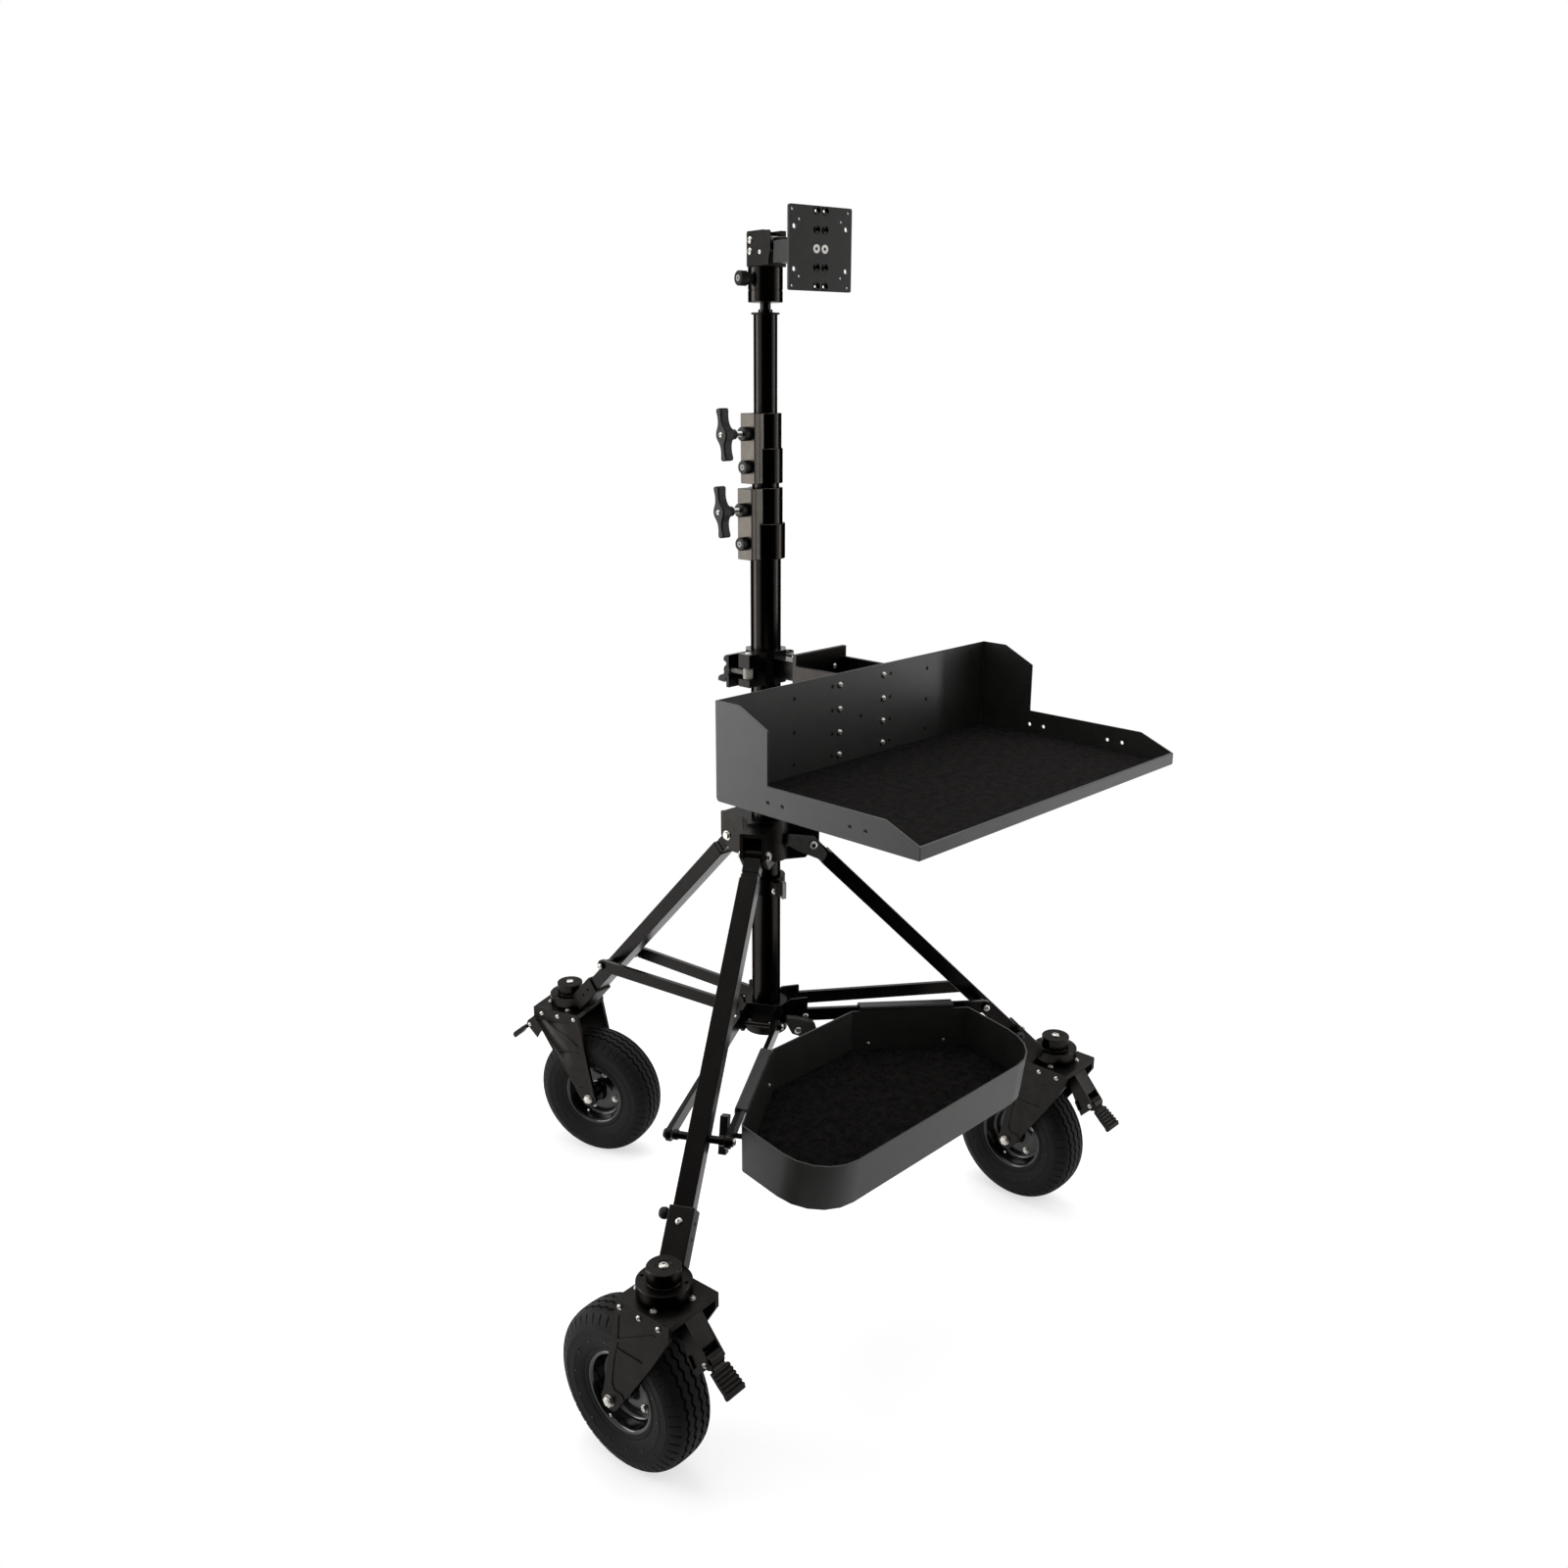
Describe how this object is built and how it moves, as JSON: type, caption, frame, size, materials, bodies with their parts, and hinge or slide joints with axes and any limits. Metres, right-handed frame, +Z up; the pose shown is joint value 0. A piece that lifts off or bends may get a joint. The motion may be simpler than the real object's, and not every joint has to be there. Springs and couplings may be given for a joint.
{
  "type": "mobile workstation stand",
  "caption": "Folding tripod stand on braked swivel casters, with a telescopic mast, a tilting monitor plate, a clamped laptop tray and a lower accessory tray.",
  "frame": {"origin": "on the floor under the middle of the stand's outline, 65 mm behind the mast's axis", "axes": "+Z up along the mast; -Y towards the user, the side that the trays and the monitor plate face; +X to the user's right"},
  "size_m": [1.087, 1.2533, 1.7565],
  "materials": {
    "tube_paint": "satin",
    "leg_aluminium": "satin",
    "black_casting": "satin",
    "black_steel": "satin",
    "bright_steel": "satin",
    "grey_metal": "satin",
    "tray_sheet": "satin",
    "black_felt": "matte",
    "black_plastic": "satin",
    "rim_enamel": "gloss",
    "tyre_rubber": "matte"
  },
  "bodies": {
    "mast": {"column_tube": "tube_paint", "column_clamp": "black_casting", "upper_hub": "black_casting", "column_collar": "black_casting"},
    "column_handle": {"column_clamp_handle": "black_plastic"},
    "column_screw": {"column_clamp_screw": "black_steel"},
    "riser": {"middle_tube": "tube_paint", "riser_clamp": "black_casting"},
    "riser_handle": {"riser_clamp_handle": "black_plastic"},
    "riser_screw": {"riser_clamp_screw": "black_steel"},
    "top": {"top_tube": "tube_paint"},
    "head": {"head_socket": "black_casting", "tilt_block": "black_casting"},
    "head_knob": {"socket_knob": "black_plastic"},
    "monitor_arm": {"tilt_arm": "black_casting", "monitor_plate": "tray_sheet"},
    "tray_carrier": {"tray_clamp_front": "black_casting", "tray_bracket": "black_casting", "upper_tray": "tray_sheet", "upper_tray_liner": "black_felt"},
    "clamp_back": {"tray_clamp_back": "black_casting"},
    "swing_bolt": {"tray_clamp_bolt": "bright_steel"},
    "wing_nut": {"tray_clamp_wing_nut": "black_steel"},
    "upper_lever": {"upper_hub_lever": "black_plastic"},
    "collar_catch": {"collar_lever": "grey_metal"},
    "spreader_hub": {"lower_hub": "black_casting"},
    "hub_lever": {"lower_hub_lever": "black_plastic"},
    "leg_1": {"leg_tube_1": "leg_aluminium", "caster_mount_1": "black_casting"},
    "leg_2": {"leg_tube_2": "leg_aluminium", "caster_mount_2": "black_casting"},
    "leg_3": {"leg_tube_3": "leg_aluminium", "caster_mount_3": "black_casting"},
    "release_1": {"caster_release_knob_1": "black_plastic"},
    "release_2": {"caster_release_knob_2": "black_plastic"},
    "release_3": {"caster_release_knob_3": "black_plastic"},
    "arm_1_left": {"spreader_arm_1_left": "leg_aluminium"},
    "arm_1_right": {"spreader_arm_1_right": "leg_aluminium"},
    "arm_2_left": {"spreader_arm_2_left": "leg_aluminium"},
    "arm_2_right": {"spreader_arm_2_right": "leg_aluminium"},
    "arm_3_left": {"spreader_arm_3_left": "leg_aluminium"},
    "arm_3_right": {"spreader_arm_3_right": "leg_aluminium"},
    "fork_1": {"caster_fork_1": "black_casting", "axle_1": "bright_steel"},
    "fork_2": {"caster_fork_2": "black_casting", "axle_2": "bright_steel"},
    "fork_3": {"caster_fork_3": "black_casting", "axle_3": "bright_steel"},
    "wheel_1": {"rim_1": "rim_enamel", "tyre_1": "tyre_rubber"},
    "wheel_2": {"rim_2": "rim_enamel", "tyre_2": "tyre_rubber"},
    "wheel_3": {"rim_3": "rim_enamel", "tyre_3": "tyre_rubber"},
    "pedal_1": {"brake_pedal_1": "black_casting"},
    "pedal_2": {"brake_pedal_2": "black_casting"},
    "pedal_3": {"brake_pedal_3": "black_casting"},
    "tray": {"lower_tray": "tray_sheet", "lower_tray_liner": "black_felt"},
    "tray_knob": {"lower_tray_knob": "black_plastic"}
  },
  "joints": [
    {"name": "riser_slide", "type": "slide", "parent": "mast", "child": "riser", "axis": [0, 0, 1], "range_m": [-0.006, 0.55]},
    {"name": "top_slide", "type": "slide", "parent": "riser", "child": "top", "axis": [0, 0, 1], "range_m": [-0.14, 0.5]},
    {"name": "column_handle_turn", "type": "hinge", "parent": "mast", "child": "column_handle", "pos_m": [0, -0.065, 1.331], "axis": [1, 0, 0], "range_deg": [0, 720]},
    {"name": "column_screw_turn", "type": "hinge", "parent": "mast", "child": "column_screw", "pos_m": [0, -0.065, 1.28], "axis": [1, 0, 0], "range_deg": [0, 720]},
    {"name": "riser_handle_turn", "type": "hinge", "parent": "riser", "child": "riser_handle", "pos_m": [0, -0.065, 1.444], "axis": [1, 0, 0], "range_deg": [0, 720]},
    {"name": "riser_screw_turn", "type": "hinge", "parent": "riser", "child": "riser_screw", "pos_m": [0, -0.065, 1.395], "axis": [1, 0, 0], "range_deg": [0, 720]},
    {"name": "head_pan", "type": "hinge", "parent": "top", "child": "head", "pos_m": [0, -0.065, 1.665], "axis": [0, 0, 1], "continuous": true},
    {"name": "head_knob_turn", "type": "hinge", "parent": "head", "child": "head_knob", "pos_m": [0, -0.065, 1.6655], "axis": [0.9877, -0.1564, 0], "range_deg": [0, 720]},
    {"name": "monitor_tilt", "type": "hinge", "parent": "head", "child": "monitor_arm", "pos_m": [-0.00469, -0.09463, 1.711], "axis": [0.9877, -0.1564, 0], "range_deg": [-20, 20]},
    {"name": "tray_height", "type": "slide", "parent": "mast", "child": "tray_carrier", "axis": [0, 0, 1], "range_m": [-0.2, 0.14]},
    {"name": "clamp_back_open", "type": "hinge", "parent": "tray_carrier", "child": "clamp_back", "pos_m": [0.05, -0.065, 1.085], "axis": [0, 0, -1], "range_deg": [0, 5]},
    {"name": "swing_bolt_open", "type": "hinge", "parent": "tray_carrier", "child": "swing_bolt", "pos_m": [-0.054, -0.079, 1.08], "axis": [0, 0, -1], "range_deg": [0, 3.2]},
    {"name": "wing_nut_turn", "type": "hinge", "parent": "clamp_back", "child": "wing_nut", "pos_m": [-0.054, -0.079, 1.08], "axis": [0, 1, 0], "range_deg": [0, 720]},
    {"name": "upper_lever_lift", "type": "hinge", "parent": "mast", "child": "upper_lever", "pos_m": [0.06149, -0.1005, 0.784], "axis": [0.5, 0.866, 0], "range_deg": [0, 60]},
    {"name": "collar_lever_lift", "type": "hinge", "parent": "mast", "child": "collar_catch", "pos_m": [-0.00984, -0.10171, 0.719], "axis": [-0.9659, 0.2588, 0], "range_deg": [0, 60]},
    {"name": "leg_1_fold", "type": "hinge", "parent": "mast", "child": "leg_1", "pos_m": [-0.06149, -0.1005, 0.784], "axis": [0.5, -0.866, 0], "range_deg": [0, 25]},
    {"name": "leg_2_fold", "type": "hinge", "parent": "mast", "child": "leg_2", "pos_m": [0.06149, -0.1005, 0.784], "axis": [0.5, 0.866, 0], "range_deg": [0, 25]},
    {"name": "leg_3_fold", "type": "hinge", "parent": "mast", "child": "leg_3", "pos_m": [0, 0.006, 0.784], "axis": [-1, 0, 0], "range_deg": [0, 25]},
    {"name": "spreader_hub_slide", "type": "slide", "parent": "mast", "child": "spreader_hub", "axis": [0, 0, 1], "range_m": [0, 0.163]},
    {"name": "hub_lever_lift", "type": "hinge", "parent": "spreader_hub", "child": "hub_lever", "pos_m": [0.03464, -0.085, 0.461], "axis": [0.5, 0.866, 0], "range_deg": [0, 40]},
    {"name": "arm_1_left_fold", "type": "hinge", "parent": "spreader_hub", "child": "arm_1_left", "pos_m": [-0.06723, -0.06456, 0.478], "axis": [0.5, -0.866, 0], "range_deg": [0, 57]},
    {"name": "arm_1_right_fold", "type": "hinge", "parent": "spreader_hub", "child": "arm_1_right", "pos_m": [-0.03323, -0.12344, 0.478], "axis": [0.5, -0.866, 0], "range_deg": [0, 57]},
    {"name": "arm_2_left_fold", "type": "hinge", "parent": "spreader_hub", "child": "arm_2_left", "pos_m": [0.03323, -0.12344, 0.478], "axis": [0.5, 0.866, 0], "range_deg": [0, 57]},
    {"name": "arm_2_right_fold", "type": "hinge", "parent": "spreader_hub", "child": "arm_2_right", "pos_m": [0.06723, -0.06456, 0.478], "axis": [0.5, 0.866, 0], "range_deg": [0, 57]},
    {"name": "arm_3_left_fold", "type": "hinge", "parent": "spreader_hub", "child": "arm_3_left", "pos_m": [0.034, -0.007, 0.478], "axis": [-1, 0, 0], "range_deg": [0, 57]},
    {"name": "arm_3_right_fold", "type": "hinge", "parent": "spreader_hub", "child": "arm_3_right", "pos_m": [-0.034, -0.007, 0.478], "axis": [-1, 0, 0], "range_deg": [0, 57]},
    {"name": "release_1_press", "type": "slide", "parent": "leg_1", "child": "release_1", "axis": [-0.5, 0.866, 0], "range_m": [0, 0.006], "stiffness_N_per_m": 200},
    {"name": "release_2_press", "type": "slide", "parent": "leg_2", "child": "release_2", "axis": [-0.5, -0.866, 0], "range_m": [0, 0.006], "stiffness_N_per_m": 200},
    {"name": "release_3_press", "type": "slide", "parent": "leg_3", "child": "release_3", "axis": [1, 0, 0], "range_m": [0, 0.006], "stiffness_N_per_m": 200},
    {"name": "caster_1_swivel", "type": "hinge", "parent": "leg_1", "child": "fork_1", "pos_m": [-0.48324, -0.344, 0.25], "axis": [0, 0, 1], "continuous": true},
    {"name": "caster_2_swivel", "type": "hinge", "parent": "leg_2", "child": "fork_2", "pos_m": [0.48324, -0.344, 0.25], "axis": [0, 0, 1], "continuous": true},
    {"name": "caster_3_swivel", "type": "hinge", "parent": "leg_3", "child": "fork_3", "pos_m": [0, 0.493, 0.25], "axis": [0, 0, 1], "continuous": true},
    {"name": "wheel_1_roll", "type": "hinge", "parent": "fork_1", "child": "wheel_1", "pos_m": [-0.48823, -0.27919, 0.1276], "axis": [-0.9971, -0.0767, 0], "continuous": true},
    {"name": "wheel_2_roll", "type": "hinge", "parent": "fork_2", "child": "wheel_2", "pos_m": [0.48211, -0.27901, 0.1276], "axis": [-0.9998, -0.0174, 0], "continuous": true},
    {"name": "wheel_3_roll", "type": "hinge", "parent": "fork_3", "child": "wheel_3", "pos_m": [0.02223, 0.43192, 0.1276], "axis": [0.9397, 0.342, 0], "continuous": true},
    {"name": "pedal_1_press", "type": "hinge", "parent": "fork_1", "child": "pedal_1", "pos_m": [-0.47634, -0.43373, 0.246], "axis": [0.9971, 0.0767, 0], "range_deg": [0, 20]},
    {"name": "pedal_2_press", "type": "hinge", "parent": "fork_2", "child": "pedal_2", "pos_m": [0.48481, -0.43399, 0.246], "axis": [0.9998, 0.0174, 0], "range_deg": [0, 20]},
    {"name": "pedal_3_press", "type": "hinge", "parent": "fork_3", "child": "pedal_3", "pos_m": [-0.03078, 0.57757, 0.246], "axis": [-0.9397, -0.342, 0], "range_deg": [0, 20]},
    {"name": "lower_tray_lift", "type": "slide", "parent": "spreader_hub", "child": "tray", "axis": [0, -0.1425, 0.9898], "range_m": [0, 0.2]},
    {"name": "tray_knob_turn", "type": "hinge", "parent": "arm_1_right", "child": "tray_knob", "pos_m": [-0.30051, -0.2385, 0.439], "axis": [0.5, -0.866, 0], "range_deg": [0, 720]}
  ],
  "couplings": [
    {"joint": "leg_2_fold", "follows": "leg_1_fold", "ratio": 1},
    {"joint": "leg_3_fold", "follows": "leg_1_fold", "ratio": 1},
    {"joint": "spreader_hub_slide", "follows": "leg_1_fold", "m_per_rad": 0.37345},
    {"joint": "arm_1_left_fold", "follows": "leg_1_fold", "ratio": 2.2647},
    {"joint": "arm_1_right_fold", "follows": "leg_1_fold", "ratio": 2.2647},
    {"joint": "arm_2_left_fold", "follows": "leg_1_fold", "ratio": 2.2647},
    {"joint": "arm_2_right_fold", "follows": "leg_1_fold", "ratio": 2.2647},
    {"joint": "arm_3_left_fold", "follows": "leg_1_fold", "ratio": 2.2647},
    {"joint": "arm_3_right_fold", "follows": "leg_1_fold", "ratio": 2.2647},
    {"joint": "swing_bolt_open", "follows": "clamp_back_open", "ratio": 0.635}
  ]
}
